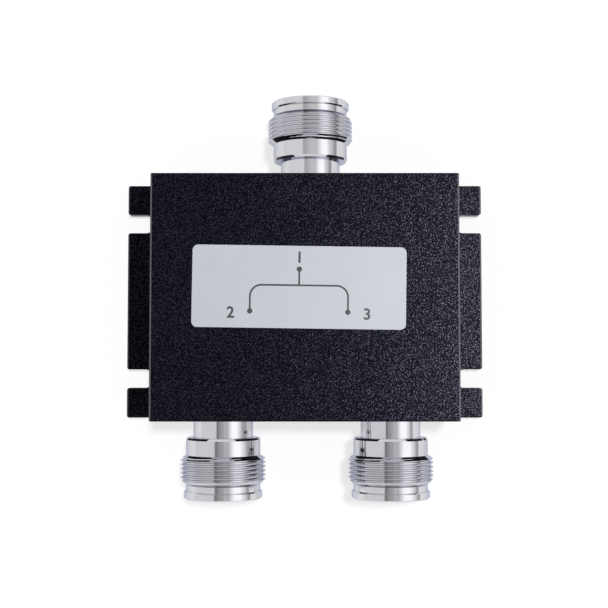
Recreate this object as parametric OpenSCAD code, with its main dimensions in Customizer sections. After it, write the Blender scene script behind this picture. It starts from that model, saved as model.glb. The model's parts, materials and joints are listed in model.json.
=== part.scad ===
// Two-way RF power splitter: a milled, powder-coated box with one input jack and two output
// jacks. The origin is the centre of the mounting plane, +Y points to the input jack and +Z
// points out of the labelled face. All lengths are in millimetres.

/* [Body] */
// Width of the body between the two flanges
body_w = 71; // [68:0.5:90]
// Length of the body from the output wall to the input wall
body_l = 57; // [55:0.5:75]
// Height of the labelled face above the mounting plane
body_h = 22; // [21:0.5:30]
// Thickness of the side walls
wall_t = 7; // [6.6:0.1:7.6]
// Radius of the outside edges
edge_r = 0.4; // [0.2:0.1:1]
// Corner radius of the milled cavity
cavity_r = 3; // [2:0.5:5]

/* [Flanges] */
// How far each flange stands out past the body
flange_reach = 8; // [7:0.5:14]
// Thickness of the flanges
flange_t = 3; // [2:0.1:5]
// Width of the open mounting slots
slot_w = 4.5; // [3.2:0.1:6]
// Distance between the two slots of a flange
slot_pitch = 38; // [24:0.5:44]
// Distance from a flange's outer edge to the centre of a slot's round end
slot_in = 4.4; // [3:0.1:5]
// Radius of the flanges' corners and of the corners at the slots' mouths
flange_r = 0.7; // [0.3:0.1:1.2]

/* [Rear cover] */
// Thickness of the rear cover
cover_t = 2; // [1.5:0.1:2.4]
// How far the cover and its screws lie above the mounting plane
cover_set = 0.2; // [0.1:0.05:0.5]
// Thickness of the housing's rim around the cover
rim_t = 1.8; // [1.2:0.1:2]
// Corner radius of the recess for the cover
recess_r = 2.5; // [1.5:0.1:4]
// Thickness of the gasket under the cover
gasket_t = 0.5; // [0.3:0.1:1]
// Width of the ledge that the gasket leaves bare beside the cavity
gasket_margin = 0.4; // [0.2:0.1:0.8]
// Radius of the cover screws
cover_screw_r = 1.25; // [1:0.05:1.4]
// Radius of the cover screws' countersunk heads
cover_head_r = 2.2; // [1.9:0.05:2.3]
// Length of the cover screws
cover_screw_l = 6; // [5:0.5:7]
// Width across the flats of the cover screws' sockets
cover_socket_w = 1.5; // [1.2:0.1:1.8]
// Depth of the cover screws' sockets
cover_socket_l = 0.8; // [0.5:0.1:1]

/* [Jacks] */
// Height of the jacks' axes above the mounting plane
axis_z = 12; // [11.5:0.1:12.5]
// Offset of the input jack from the middle of its wall towards +X
input_x = 1.3; // [-1.5:0.1:1.5]
// Distance between the two output jacks
output_pitch = 39.4; // [34:0.1:41]
// Offset of the output jacks from the middle of their wall towards +X
output_x = 0.5; // [-0.5:0.1:0.5]
// Radius of the neck that stands on the wall
neck_r = 7; // [6.95:0.05:7.05]
// Length of the neck
neck_l = 4.1; // [3.5:0.05:6]
// Radius of the collar between the neck and the thread
collar_r = 8.75; // [8.5:0.05:9.4]
// Length of the collar with the slope on its shoulder
collar_l = 4.05; // [3:0.05:5]
// Width of the slope on the collar's shoulder, across the axis
shoulder_w = 0.3; // [0.2:0.05:1.4]
// Length of the slope on the collar's shoulder, along the axis
shoulder_l = 0.5; // [0.3:0.05:1]
// Length of the ramp from the collar up to the thread
rear_ramp_l = 0.85; // [0.7:0.05:1.5]
// Outside radius of the coupling thread
thread_r = 10; // [9.6:0.1:10.4]
// Length of the coupling thread at its full radius
thread_l = 4.8; // [3.5:0.05:6]
// Radius of the push-on groove between the thread and the lip
groove_r = 8.75; // [8.4:0.05:9]
// Length of the push-on groove
groove_l = 1.4; // [1:0.1:2]
// Radius of the lip at the mouth
lip_r = 9.2; // [9.1:0.05:9.6]
// Length of the lip
lip_l = 1.8; // [1.2:0.1:2.5]
// Chamfer on the edges of the lip and the spigot
chamfer = 0.25; // [0.1:0.05:0.4]
// Radius of the spigot that passes through the wall
spigot_r = 6; // [5.8:0.05:6]
// Thickness of the sealing rings under the necks
seal_t = 0.8; // [0.6:0.05:0.8]

/* [Jack bores] */
// Radius of the lead-in at the mouth
mouth_r = 7.9; // [7.7:0.05:8.2]
// Radius of the outer bore
seal_bore_r = 7.5; // [7.2:0.05:7.6]
// Depth of the outer bore behind the lip
seal_bore_l = 5; // [4.6:0.1:6]
// Radius of the inner bore, where the plug's outer conductor makes contact
contact_bore_r = 6; // [5.6:0.05:6.2]
// Depth of the inner bore behind the lip
contact_bore_l = 12; // [11:0.25:13]
// Radius of the insulating bead
bead_r = 5; // [4.6:0.05:5.2]
// Length of the insulating bead
bead_l = 5; // [3.5:0.25:6]
// Radius of the insulating sleeve behind the bead
sleeve_r = 2.6; // [2.3:0.05:3]

/* [Contacts] */
// Outside radius of the centre socket
socket_r = 2.15; // [1.9:0.05:2.3]
// Depth of the centre socket's tip behind the lip
socket_set = 5; // [4.6:0.1:6]
// Radius of the hole in the centre socket
socket_bore_r = 0.85; // [0.7:0.05:1]
// Depth of the hole and of the slots in the centre socket
socket_bore_l = 5; // [3.5:0.25:5.5]
// Chamfer on the edges of the centre socket's tip
lead_in = 0.3; // [0.1:0.05:0.5]
// Width of the slots that part the socket's four fingers
finger_gap = 0.4; // [0.2:0.05:0.6]
// Radius of the contact where the bead holds it
waist_r = 1.5; // [1.2:0.05:1.7]
// Radius of the contact's tail
tail_r = 0.75; // [0.6:0.05:0.9]
// Height of the flat on the tail above the jack's axis
tail_flat = 0.45; // [0.3:0.05:0.5]
// How far the tail reaches over the board, past the wall
tail_l = 3.5; // [2:0.25:4.5]

/* [Circuit] */
// Thickness of the circuit board
board_t = 1; // [0.8:0.1:1.6]
// Thickness of the copper
copper_t = 0.07; // [0.05:0.01:0.12]
// Distance from the board's edge to the copper
etch_back = 0.3; // [0.2:0.1:0.8]
// Width of the input and output lines
line_w = 2.7; // [2:0.1:2.9]
// Width of the divider's arms in each section, from the input on
section_w = [1, 1.5, 2.1]; // [0.8:0.1:2.2]
// Length of an arm in each section, a quarter of a wave at mid band
arm_l = 30; // [27:0.5:34]
// Distance between the centre lines of one section and the next
section_gap = 3.3; // [2.9:0.1:4]
// Gap between the two arms, bridged by the resistors
arm_gap = 1.2; // [0.8:0.1:1.6]
// Distance from the board's edge to the first section
input_line_l = 6.2; // [5.5:0.1:7]
// Distance from the board's edge to the lines that fan out to the outputs
output_line_l = 8.2; // [7.6:0.1:9]
// Length of a chip resistor
resistor_l = 3.2; // [2.8:0.1:3.6]
// Width of a chip resistor
resistor_w = 1.6; // [1.2:0.1:1.8]
// Height of a chip resistor over its end caps
resistor_t = 0.6; // [0.4:0.05:0.8]
// Length of a chip resistor's end caps
cap_l = 0.5; // [0.3:0.05:0.7]
// How far the end caps stand out past the chip
cap_t = 0.05; // [0.03:0.01:0.1]

/* [Board screws] */
// Radius of the board screws
board_screw_r = 1; // [0.8:0.05:1.25]
// Length of the board screws in the housing
board_screw_l = 4; // [3:0.25:5]
// Radius of the board screws' heads
board_head_r = 1.9; // [1.6:0.05:2.1]
// Height of the board screws' heads
board_head_h = 1.3; // [1:0.05:1.6]
// Height of the chamfer on the board screws' heads
board_crown = 0.3; // [0.1:0.05:0.5]
// Length of the board screws' cross recess
cross_l = 2; // [1.6:0.1:2.4]
// Width of the board screws' cross recess
cross_w = 0.5; // [0.3:0.05:0.7]
// Depth of the board screws' cross recess
cross_depth = 0.6; // [0.4:0.05:0.8]
// Distance of the side screws from the board's side edges
side_inset = 5; // [4:0.25:6]
// Distance of the upper screws from the board's input edge
top_inset = 5; // [4:0.25:6]
// Distance of the lower screws from the board's output edge
bottom_inset = 3; // [2.75:0.25:3.25]

/* [Label] */
// Width of the label
label_w = 49; // [40:0.1:56]
// Height of the label
label_l = 18.9; // [12:0.1:30]
// Thickness of the label
label_t = 0.12; // [0.08:0.01:0.2]
// Corner radius of the label
label_r = 1.3; // [0.5:0.1:3]
// Offset of the label from the middle of the face towards +X
label_x = -1.3; // [-4:0.1:4]
// Offset of the label from the middle of the face towards +Y
label_y = 2.15; // [-8:0.05:8]
// Turn of the label, stuck on by hand
label_turn = -0.83; // [-2:0.01:2]

/* [Clearances] */
// Gap around the rear cover and its gasket
cover_gap = 0.15; // [0.1:0.05:0.3]
// Gap around the screws in their holes
screw_gap = 0.05; // [0.03:0.01:0.1]
// Gap around the jacks' spigots
spigot_gap = 0.05; // [0.03:0.01:0.1]
// Gap around the insulators and the contacts in them
insert_gap = 0.03; // [0.02:0.01:0.05]
// Gap around the sealing rings
seal_gap = 0.03; // [0.02:0.01:0.05]
// Gap around the circuit board
board_gap = 0.3; // [0.2:0.05:0.5]
// Spare depth of the tapped holes
hole_spare = 0.5; // [0.3:0.1:1]

/* [Hidden] */

// Overshoot of a cut past the face it opens
past = 1;
// Overrun of a jack's bore into the cavity
bore_overrun = 0.5;
// Steps of a full turn on the round surfaces
$fn = 64;

// Levels above the mounting plane, from the back to the cavity's floor
cover_top = cover_set + cover_t;
recess_top = cover_top + gasket_t;
copper_z = axis_z + tail_flat;
board_z = copper_z + copper_t;
floor_z = board_z + board_t;

// Outlines in plan
flange_w = body_w + 2 * flange_reach;
cavity_w = body_w - 2 * wall_t;
cavity_l = body_l - 2 * wall_t;
recess_w = body_w - 2 * rim_t;
recess_l = body_l - 2 * rim_t;
board_w = cavity_w - 2 * board_gap;
board_l = cavity_l - 2 * board_gap;
board_r = cavity_r - board_gap;

// Cover screws stand on the middle of the ledge: four by the input, three by the outputs
screw_x = body_w / 2 - (rim_t + wall_t) / 2;
screw_y = body_l / 2 - (rim_t + wall_t) / 2;
cover_screw_points = concat(
    [for (i = [0:3]) [screw_x * (2 * i / 3 - 1), screw_y]],
    [for (i = [-1:1]) [screw_x * i, -screw_y]],
    [for (i = [-1, 1]) [screw_x * i, 0]]
);

// Jacks: each is [place along X, side of the body along Y]
input_port = [input_x, 1];
output_left_port = [output_x - output_pitch / 2, -1];
output_right_port = [output_x + output_pitch / 2, -1];
ports = [input_port, output_left_port, output_right_port];

// Levels along a jack's axis, from the wall's outer face to the lip
collar_y = neck_l;
rear_ramp_y = collar_y + collar_l;
thread_y = rear_ramp_y + rear_ramp_l;
front_ramp_y = thread_y + thread_l;
groove_y = front_ramp_y + thread_r - groove_r;
lip_y = groove_y + groove_l;
front_y = lip_y + lip_l;
bead_front_y = front_y - contact_bore_l;
bead_back_y = bead_front_y - bead_l;
socket_tip_y = front_y - socket_set;

// Wall bores and sealing rings
bore_r = spigot_r + spigot_gap;
seal_mean_r = spigot_r + seal_gap + seal_t / 2;
counterbore_r = spigot_r + seal_t + 2 * seal_gap;
counterbore_l = seal_t + 2 * seal_gap;

// Divider: its sections hang one under the other from the input line
sections = len(section_w);
input_line_y = board_l / 2 - input_line_l;
output_line_y = output_line_l - board_l / 2;
tail_end_y = body_l / 2 - wall_t - tail_l;
section_pitch = (input_line_y - output_line_y) / sections;
section_h = section_pitch - section_gap;
arm_straight = (arm_l - PI * section_h / 2) / 2;
bend_x = arm_gap / 2 + arm_straight;
resistor_points = [
    for (i = [0:sections - 1]) [0, input_line_y - section_pitch * i - section_h - section_gap / 2]
];

// Board screws: two by the input, two at mid length and two between the outputs
board_screw_x = board_w / 2 - side_inset;
board_screw_points = [
    for (i = [-1, 1]) each [
        [board_screw_x * i, board_l / 2 - top_inset],
        [board_screw_x * i, 0],
        [output_pitch / 4 * i, bottom_inset - board_l / 2]
    ]
];

// Flat rectangle with round corners
module rounded_rect(w, l, r) {
    square([w - 2 * r, l], center = true);
    square([w, l - 2 * r], center = true);
    for (x = [-1, 1], y = [-1, 1])
        translate([x * (w / 2 - r), y * (l / 2 - r)]) circle(r);
}

// Section that stands on the plan's line, with its two upper corners round
module round_topped(w, h, r) {
    translate([-w / 2, 0]) square([w, h - r]);
    translate([r - w / 2, 0]) square([w - 2 * r, h]);
    for (x = [-1, 1])
        translate([x * (w / 2 - r), h - r]) circle(r);
}

// Slab on the mounting plane with round upright edges and round upper edges
module soft_slab(w, l, h, r) {
    intersection() {
        linear_extrude(h) rounded_rect(w, l, r);
        rotate([90, 0, 0]) linear_extrude(l, center = true) round_topped(w, h, edge_r);
        rotate([90, 0, 90]) linear_extrude(w, center = true) round_topped(l, h, edge_r);
    }
}

// Plan of a mounting slot that opens towards +X, with round corners at its mouth
module slot_plan() {
    circle(d = slot_w);
    translate([0, -slot_w / 2]) square([slot_in + past, slot_w]);
    for (y = [-1, 1])
        difference() {
            translate([slot_in - flange_r, y > 0 ? 0 : -slot_w / 2 - flange_r])
                square([flange_r + past, slot_w / 2 + flange_r]);
            translate([slot_in - flange_r, y * (slot_w / 2 + flange_r)]) circle(flange_r);
        }
}

// Open mounting slots, from the flanges' outer edges inwards
module slots() {
    for (turn = [0, 180], y = [-1, 1])
        rotate(turn) translate([flange_w / 2 - slot_in, y * slot_pitch / 2, -past])
            linear_extrude(flange_t + 2 * past) slot_plan();
}

// Children at a jack: their +Z runs out of the wall along the jack's axis, their +Y stays up
module at_port(port) {
    translate([port[0], port[1] * body_l / 2, axis_z])
        rotate([90, 0, port[1] > 0 ? 180 : 0]) children();
}

module housing() {
    color("#24242a") difference() {
        union() {
            soft_slab(body_w, body_l, body_h, edge_r);
            soft_slab(flange_w, body_l, flange_t, flange_r);
        }
        slots();
        translate([0, 0, -past]) linear_extrude(recess_top + past)
            rounded_rect(recess_w, recess_l, recess_r);
        linear_extrude(floor_z) rounded_rect(cavity_w, cavity_l, cavity_r);
        for (port = ports)
            at_port(port) {
                translate([0, 0, -wall_t - bore_overrun])
                    cylinder(r = bore_r, h = wall_t + bore_overrun + past);
                translate([0, 0, -counterbore_l]) cylinder(r = counterbore_r, h = counterbore_l + past);
            }
        for (p = cover_screw_points)
            translate([p[0], p[1], 0])
                cylinder(r = cover_screw_r + screw_gap, h = cover_set + cover_screw_l + hole_spare);
        for (p = board_screw_points)
            translate([p[0], p[1], axis_z])
                cylinder(
                    r = board_screw_r + screw_gap,
                    h = floor_z - axis_z + board_screw_l + hole_spare
                );
    }
}

// Countersunk screw, head down, with its head's top at zero; gap widens it for its hole
module countersunk(gap) {
    head_l = cover_head_r - cover_screw_r;
    cylinder(r1 = cover_head_r + gap, r2 = cover_screw_r + gap, h = head_l);
    cylinder(r = cover_screw_r + gap, h = cover_screw_l);
}

module rear_cover() {
    color("#2a2a30") difference() {
        translate([0, 0, cover_set]) linear_extrude(cover_t)
            rounded_rect(recess_w - 2 * cover_gap, recess_l - 2 * cover_gap, recess_r - cover_gap);
        for (p = cover_screw_points)
            translate([p[0], p[1], cover_set]) countersunk(screw_gap);
    }
}

module cover_gasket() {
    color("#5a5f66") translate([0, 0, cover_top]) linear_extrude(gasket_t) difference() {
        rounded_rect(recess_w - 2 * cover_gap, recess_l - 2 * cover_gap, recess_r - cover_gap);
        rounded_rect(
            cavity_w + 2 * gasket_margin, cavity_l + 2 * gasket_margin, cavity_r + gasket_margin
        );
        for (p = cover_screw_points)
            translate(p) circle(cover_screw_r + screw_gap);
    }
}

module cover_screws() {
    color("#b9bcc2") for (p = cover_screw_points)
        translate([p[0], p[1], cover_set]) difference() {
            countersunk(0);
            translate([0, 0, -past])
                cylinder(r = cover_socket_w / 2 / cos(30), h = cover_socket_l + past, $fn = 6);
        }
}

module label() {
    color("#c9ccd3") translate([label_x, label_y, body_h]) rotate(label_turn)
        linear_extrude(label_t) rounded_rect(label_w, label_l, label_r);
}

module circuit_board() {
    color("#e8e2d0") translate([0, 0, board_z]) linear_extrude(board_t) difference() {
        rounded_rect(board_w, board_l, board_r);
        for (p = board_screw_points)
            translate(p) circle(board_screw_r + screw_gap);
    }
}

// Line from an arm's last section to an output at the given distance, with a mitred bend
module output_line(reach) {
    bend = reach + line_w / 2;
    upper = output_line_y + line_w / 2;
    lower = output_line_y - line_w / 2;
    end_y = etch_back - board_l / 2;
    polygon([
        [arm_gap / 2, lower],
        [bend - line_w, lower],
        [bend - line_w, end_y],
        [bend, end_y],
        [bend, lower],
        [bend - line_w, upper],
        [arm_gap / 2, upper]
    ]);
}

// An arm's run in one section: out along the upper line, round a half ring, back along the
// lower line and down to the next section
module arm_section(i) {
    w = section_w[i];
    top = input_line_y - section_pitch * i;
    start = i == 0 ? 0 : arm_gap / 2;
    translate([start, top - w / 2]) square([bend_x - start, w]);
    translate([arm_gap / 2, top - section_h - w / 2]) square([arm_straight, w]);
    translate([arm_gap / 2, top - section_pitch]) square([w, section_gap]);
    translate([bend_x, top - section_h / 2]) intersection() {
        difference() {
            circle(section_h / 2 + w / 2);
            circle(section_h / 2 - w / 2);
        }
        translate([0, -section_h]) square([section_h, 2 * section_h]);
    }
}

// Line from the input's tail to the middle of the board, where the arms part
module input_line() {
    end_y = board_l / 2 - etch_back;
    polygon([
        [-line_w / 2, input_line_y],
        [line_w / 2, input_line_y],
        [input_x + line_w / 2, tail_end_y],
        [input_x + line_w / 2, end_y],
        [input_x - line_w / 2, end_y],
        [input_x - line_w / 2, tail_end_y]
    ]);
}

module microstrip() {
    color("#c8803f") translate([0, 0, copper_z]) linear_extrude(copper_t) {
        input_line();
        for (side = [0, 1])
            mirror([side, 0]) {
                for (i = [0:sections - 1]) arm_section(i);
                output_line(output_pitch / 2 + (1 - 2 * side) * output_x);
            }
    }
}

// Chip resistor lying under the copper, with two end caps that stand out past the chip
module chip_resistor() {
    translate([-resistor_l / 2 + cap_t, -resistor_w / 2 + cap_t, cap_t - resistor_t])
        cube([resistor_l - 2 * cap_t, resistor_w - 2 * cap_t, resistor_t - 2 * cap_t]);
    for (x = [-resistor_l / 2, resistor_l / 2 - cap_l])
        translate([x, -resistor_w / 2, -resistor_t]) cube([cap_l, resistor_w, resistor_t]);
}

module isolation_resistors() {
    color("#3b3b40") for (p = resistor_points)
        translate([p[0], p[1], copper_z]) chip_resistor();
}

// Pan-head screw whose head hangs under the board, with a cross recess
module board_screw() {
    difference() {
        union() {
            cylinder(r = board_screw_r, h = board_t + board_screw_l);
            translate([0, 0, board_crown - board_head_h])
                cylinder(r = board_head_r, h = board_head_h - board_crown);
            translate([0, 0, -board_head_h])
                cylinder(r1 = board_head_r - board_crown, r2 = board_head_r, h = board_crown);
        }
        for (turn = [0, 90])
            rotate(turn) translate([-cross_l / 2, -cross_w / 2, -board_head_h - past])
                cube([cross_l, cross_w, cross_depth + past]);
    }
}

module board_screws() {
    color("#b9bcc2") for (p = board_screw_points)
        translate([p[0], p[1], board_z]) board_screw();
}

// Turned body of a jack: spigot, neck, collar, thread, push-on groove and lip outside, and
// a stepped bore inside
module jack_shell() {
    rotate_extrude() polygon([
        [sleeve_r, -wall_t],
        [spigot_r - chamfer, -wall_t],
        [spigot_r, chamfer - wall_t],
        [spigot_r, 0],
        [neck_r, 0],
        [neck_r, collar_y],
        [collar_r - shoulder_w, collar_y],
        [collar_r, collar_y + shoulder_l],
        [collar_r, rear_ramp_y],
        [thread_r, thread_y],
        [thread_r, front_ramp_y],
        [groove_r, groove_y],
        [groove_r, lip_y],
        [lip_r - chamfer, lip_y],
        [lip_r, lip_y + chamfer],
        [lip_r, front_y - chamfer],
        [lip_r - chamfer, front_y],
        [mouth_r, front_y],
        [seal_bore_r, front_y - mouth_r + seal_bore_r],
        [seal_bore_r, front_y - seal_bore_l],
        [contact_bore_r, front_y - seal_bore_l],
        [contact_bore_r, bead_front_y],
        [bead_r, bead_front_y],
        [bead_r, bead_back_y],
        [sleeve_r, bead_back_y]
    ]);
}

// Insulator of a jack: a bead that carries the contact, and a sleeve through the wall
module jack_insulator() {
    rotate_extrude() polygon([
        [tail_r + insert_gap, -wall_t],
        [sleeve_r - insert_gap, -wall_t],
        [sleeve_r - insert_gap, bead_back_y],
        [bead_r - insert_gap, bead_back_y],
        [bead_r - insert_gap, bead_front_y],
        [waist_r + insert_gap, bead_front_y],
        [waist_r + insert_gap, bead_back_y],
        [tail_r + insert_gap, bead_back_y]
    ]);
}

// Centre contact of a jack: a socket with four fingers, a waist in the bead, and a tail with a
// flat that lies on the copper
module jack_contact() {
    difference() {
        rotate_extrude() polygon([
            [0, -wall_t - tail_l],
            [tail_r, -wall_t - tail_l],
            [tail_r, bead_back_y],
            [waist_r, bead_back_y],
            [waist_r, bead_front_y],
            [socket_r, bead_front_y],
            [socket_r, socket_tip_y - lead_in],
            [socket_r - lead_in, socket_tip_y],
            [socket_bore_r + lead_in, socket_tip_y],
            [socket_bore_r, socket_tip_y - lead_in],
            [socket_bore_r, socket_tip_y - socket_bore_l],
            [0, socket_tip_y - socket_bore_l]
        ]);
        for (turn = [45, 135])
            rotate(turn) translate([-socket_r - past, -finger_gap / 2, socket_tip_y - socket_bore_l])
                cube([2 * (socket_r + past), finger_gap, socket_bore_l + past]);
        translate([-tail_r, tail_flat, -wall_t - tail_l - past])
            cube([2 * tail_r, tail_r, tail_l + past]);
    }
}

// Sealing ring in the counterbore under a jack's neck
module jack_seal() {
    translate([0, 0, -counterbore_l / 2]) rotate_extrude()
        translate([seal_mean_r, 0]) circle(d = seal_t);
}

module input_shell() { color("#c4c4c6") at_port(input_port) jack_shell(); }
module input_insulator() { color("#f2f2ee") at_port(input_port) jack_insulator(); }
module input_contact() { color("#d9d4c4") at_port(input_port) jack_contact(); }
module input_seal() { color("#8c3b2e") at_port(input_port) jack_seal(); }
module output_left_shell() { color("#c4c4c6") at_port(output_left_port) jack_shell(); }
module output_left_insulator() { color("#f2f2ee") at_port(output_left_port) jack_insulator(); }
module output_left_contact() { color("#d9d4c4") at_port(output_left_port) jack_contact(); }
module output_left_seal() { color("#8c3b2e") at_port(output_left_port) jack_seal(); }
module output_right_shell() { color("#c4c4c6") at_port(output_right_port) jack_shell(); }
module output_right_insulator() { color("#f2f2ee") at_port(output_right_port) jack_insulator(); }
module output_right_contact() { color("#d9d4c4") at_port(output_right_port) jack_contact(); }
module output_right_seal() { color("#8c3b2e") at_port(output_right_port) jack_seal(); }

housing();
rear_cover();
cover_gasket();
cover_screws();
label();
circuit_board();
microstrip();
isolation_resistors();
board_screws();
input_shell();
input_insulator();
input_contact();
input_seal();
output_left_shell();
output_left_insulator();
output_left_contact();
output_left_seal();
output_right_shell();
output_right_insulator();
output_right_contact();
output_right_seal();
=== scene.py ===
"""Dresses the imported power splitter: sandy coat, plated jacks, label, inside parts and studio stage."""

import json
import math

import bmesh
import bpy
import numpy as np
from bpy.props import FloatProperty, FloatVectorProperty, IntProperty, PointerProperty
from bpy.types import Operator, Panel, PropertyGroup
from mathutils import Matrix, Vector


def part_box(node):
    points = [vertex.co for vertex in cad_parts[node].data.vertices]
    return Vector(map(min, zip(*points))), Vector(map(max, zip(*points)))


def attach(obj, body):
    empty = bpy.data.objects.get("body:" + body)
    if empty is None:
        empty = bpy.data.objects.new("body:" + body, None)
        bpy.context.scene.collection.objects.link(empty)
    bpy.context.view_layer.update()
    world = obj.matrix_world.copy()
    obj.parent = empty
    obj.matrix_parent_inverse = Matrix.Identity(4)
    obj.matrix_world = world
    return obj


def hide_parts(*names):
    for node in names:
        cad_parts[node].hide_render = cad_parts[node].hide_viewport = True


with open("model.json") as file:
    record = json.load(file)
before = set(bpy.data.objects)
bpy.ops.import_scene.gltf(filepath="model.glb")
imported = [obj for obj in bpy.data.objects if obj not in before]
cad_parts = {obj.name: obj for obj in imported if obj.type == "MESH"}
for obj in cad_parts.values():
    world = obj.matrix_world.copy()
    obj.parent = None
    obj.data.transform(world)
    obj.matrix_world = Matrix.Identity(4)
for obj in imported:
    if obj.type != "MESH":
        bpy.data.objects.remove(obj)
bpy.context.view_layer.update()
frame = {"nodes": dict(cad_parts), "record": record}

bl_info = {
    "name": "Power splitter dressing",
    "version": (1, 0, 0),
    "blender": (4, 5, 0),
    "location": "3D View > Sidebar > Splitter",
    "description": "Coat, plated jacks, label and studio stage for a flanged radio power splitter",
    "category": "Object",
}

MM = 0.001
MICRON = 0.000001
WALL_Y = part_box("housing")[1][1]
FACE_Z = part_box("housing")[1][2]
LABEL_LOW, LABEL_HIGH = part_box("label")
JACKS = ("input", "output_left", "output_right")
PORTS = {mount["name"]: mount for mount in frame["record"]["mounts"]}
THREAD_R = PORTS["input_port"]["dims"]["r_mm"] * MM
FRONT_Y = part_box("input_shell")[1][1] - WALL_Y
BACK_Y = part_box("input_shell")[0][1] - WALL_Y

# Faces that lean further apart than this meet at a crisp edge: on new pieces, and on copies of CAD nodes
CRISP = math.radians(12)
COPY_CRISP = math.radians(24)
# Points closer than this are one: on new pieces, and on copies of CAD nodes
WELD_REACH = 0.2 * MICRON
COPY_REACH = 1.0 * MICRON
# Smallest doubled area of a face, and smallest sum of weighted normals, that is divided by
LEAST_AREA = 1e-20
LEAST_SUM = 1e-30
# Thread: rows of points in one turn, and the shares of half a pitch that are flat at the root and the crest
TURN_ROWS = 16
ROOT_FLAT = 0.18
CREST_FLAT = 0.125
# Edge of the label's film from its foot to its top: inset and height as shares of its thickness
FILM_EDGE = ((0.0, 0.0), (0.0, 0.7), (0.1, 0.92), (0.35, 1.0))
# Sockets of shader groups, and the places of the colours among a mix node's sockets
VECTOR = "NodeSocketVector"
NUMBER = "NodeSocketFloat"
SURFACE = (("Vector", VECTOR), ("Fineness", NUMBER))
MIX_LOW, MIX_HIGH, MIX_OUT = 6, 7, 2
# Floor: points along a side, colour of its paper, and the white of its glow and of the seen background
FLOOR_POINTS = 9
PAPER = (0.9, 0.9, 0.9, 1.0)
WHITE = (1.0, 1.0, 1.0)
# Where the floor's lamp hangs; a lamp of parallel rays shines alike from anywhere
FLOOR_LAMP_PLACE = (0.1, 0.1, 0.5)
# Tent: greys by the roll angle from straight up, over the input's end and over the outputs' end
INPUT_ARC = (
    (-90, 0.92), (-25, 0.92), (-23, 0.64), (-17, 0.53), (-10, 0.60), (0, 0.72), (14, 0.78), (19, 0.71),
    (25, 0.96), (32, 1.24), (38, 1.45), (53, 1.45), (58, 1.08), (66, 0.86), (73, 0.74), (80, 0.48),
    (90, 0.40),
)
OUTPUT_ARC = (
    (-90, 0.88), (-26, 0.86), (-22, 0.62), (-19, 0.15), (-16, 0.30), (-9, 0.42), (0, 0.49), (8, 0.58),
    (10, 0.80), (12, 0.58), (20, 0.66), (26, 0.90), (33, 1.24), (38, 1.45), (57, 1.45), (62, 1.22),
    (67, 1.06), (74, 0.88), (81, 0.55), (90, 0.40),
)
ARC_TINT = (0.985, 0.98, 1.0)
# Tent: where along the box the two arcs meet and where they fade, by the y of a direction
ARCS_MEET = (-0.04, 0.10)
ARCS_FADE = (0.55, 0.8)
# Tent: colour of the walls beyond the arcs, and the even light that it sheds on dull surfaces
WALL_COLOUR = (0.93, 0.925, 0.94)
SOFT_LIGHT = (0.38, 0.38, 0.39)


# Settings

def length(name, text, default_mm):
    """A length property in metres, given in millimetres."""
    return FloatProperty(name=name, description=text, default=default_mm * MM, precision=5, unit="LENGTH")


def tint(name, text, default):
    """A linear colour property."""
    return FloatVectorProperty(
        name=name, description=text, default=default, size=3, min=0.0, max=1.0, subtype="COLOR"
    )


def number(name, text, default):
    """A plain number property."""
    return FloatProperty(name=name, description=text, default=default)


def degrees(name, text, default_degrees):
    """An angle property in radians, given in degrees."""
    return FloatProperty(name=name, description=text, default=math.radians(default_degrees), subtype="ANGLE")


class CoatSettings(PropertyGroup):
    """Sandy powder coat on the housing and the rear cover."""

    hollow_colour: tint("Hollow colour", "Coat colour between the grains", (0.0009, 0.0009, 0.0040))
    grain_colour: tint("Grain colour", "Colour of the satin grains", (0.0190, 0.0188, 0.0275))
    fleck_colour: tint("Fleck colour", "Colour of the flecks on the tallest grains", (0.032, 0.032, 0.042))
    # Painted highlight: a paler coat colour on the long edges, partly also rubbed wear.
    edge_colour: tint("Edge colour", "Coat colour on the rubbed long edges", (0.10, 0.10, 0.11))
    grain_size: length("Grain size", "Width of one grain of the coat", 0.37)
    grain_height: length("Grain height", "Height of the grains", 0.031)
    edge_relief: number("Edge relief", "Share of the grains' height left on the rubbed edges", 0.2)
    crest_start: number("Crest start", "Relief of a grain where its satin top starts", 0.60)
    crest_full: number("Crest full", "Relief of a grain where its satin top is full", 0.95)
    rough_low: number("Roughness low", "Roughness of the glossier patches", 0.27)
    rough_high: number("Roughness high", "Roughness of the duller patches", 0.33)
    patch_fineness: number("Patch fineness", "Patches of gloss along one metre", 60.0)
    hollow_gloss: number("Hollow gloss", "Level of the reflection between the grains", 0.03)


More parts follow.
